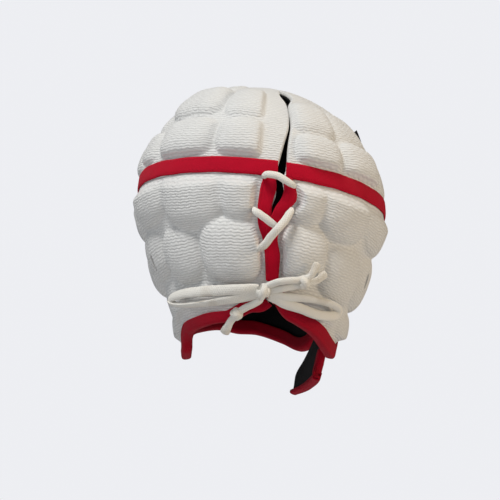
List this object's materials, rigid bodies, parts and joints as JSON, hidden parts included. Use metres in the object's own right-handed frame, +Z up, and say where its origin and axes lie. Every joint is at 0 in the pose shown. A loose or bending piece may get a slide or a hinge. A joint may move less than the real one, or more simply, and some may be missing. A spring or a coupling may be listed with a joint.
{
  "type": "rugby scrum cap",
  "caption": "Padded soft head guard with cushioned crown and skirt panels, red seam tapes and hem binding, laced and tied with a bow at the back, a chin tab below one cheek",
  "frame": {"origin": "the place on the inside of the crown that rests on the wearer's head", "axes": "+X is the wearer's right, +Y is the face side, +Z is up as worn"},
  "size_m": [0.1838, 0.2209, 0.2086],
  "materials": {
    "padded_cover": "ribbed stretch knit, matt",
    "lining": "matt black",
    "red_tape": "woven tape, matt",
    "lace": "round braided lace, matt"
  },
  "bodies": {
    "root": {"side_panel_left": "padded_cover", "crown_panel_rear_left": "padded_cover", "crown_panel_front_left": "padded_cover", "side_lining_left": "lining", "crown_lining_rear_left": "lining", "crown_lining_front_left": "lining", "crown_tape_left": "red_tape", "hem_binding_left": "red_tape", "side_panel_right": "padded_cover", "crown_panel_rear_right": "padded_cover", "crown_panel_front_right": "padded_cover", "side_lining_right": "lining", "crown_lining_rear_right": "lining", "crown_lining_front_right": "lining", "crown_tape_right": "red_tape", "hem_binding_right": "red_tape", "placket_tape_left": "red_tape", "placket_tape_right": "red_tape", "chin_tab_right": "lining", "chin_tab_binding_back": "red_tape", "chin_tab_binding_end": "red_tape", "lining_fold": "lining", "lacing_bar_top": "lace", "lacing_cross_under": "lace", "lacing_cross_over": "lace", "bow_loop_left": "lace", "bow_loop_right": "lace", "bow_tail_upper": "lace", "bow_tail_lower": "lace", "bow_tip_upper": "lace", "bow_tip_lower": "lace", "end_tail": "lace", "end_tip": "lace", "bow_knot": "lace", "tail_knot": "lace", "end_knot": "lace"}
  },
  "joints": []
}
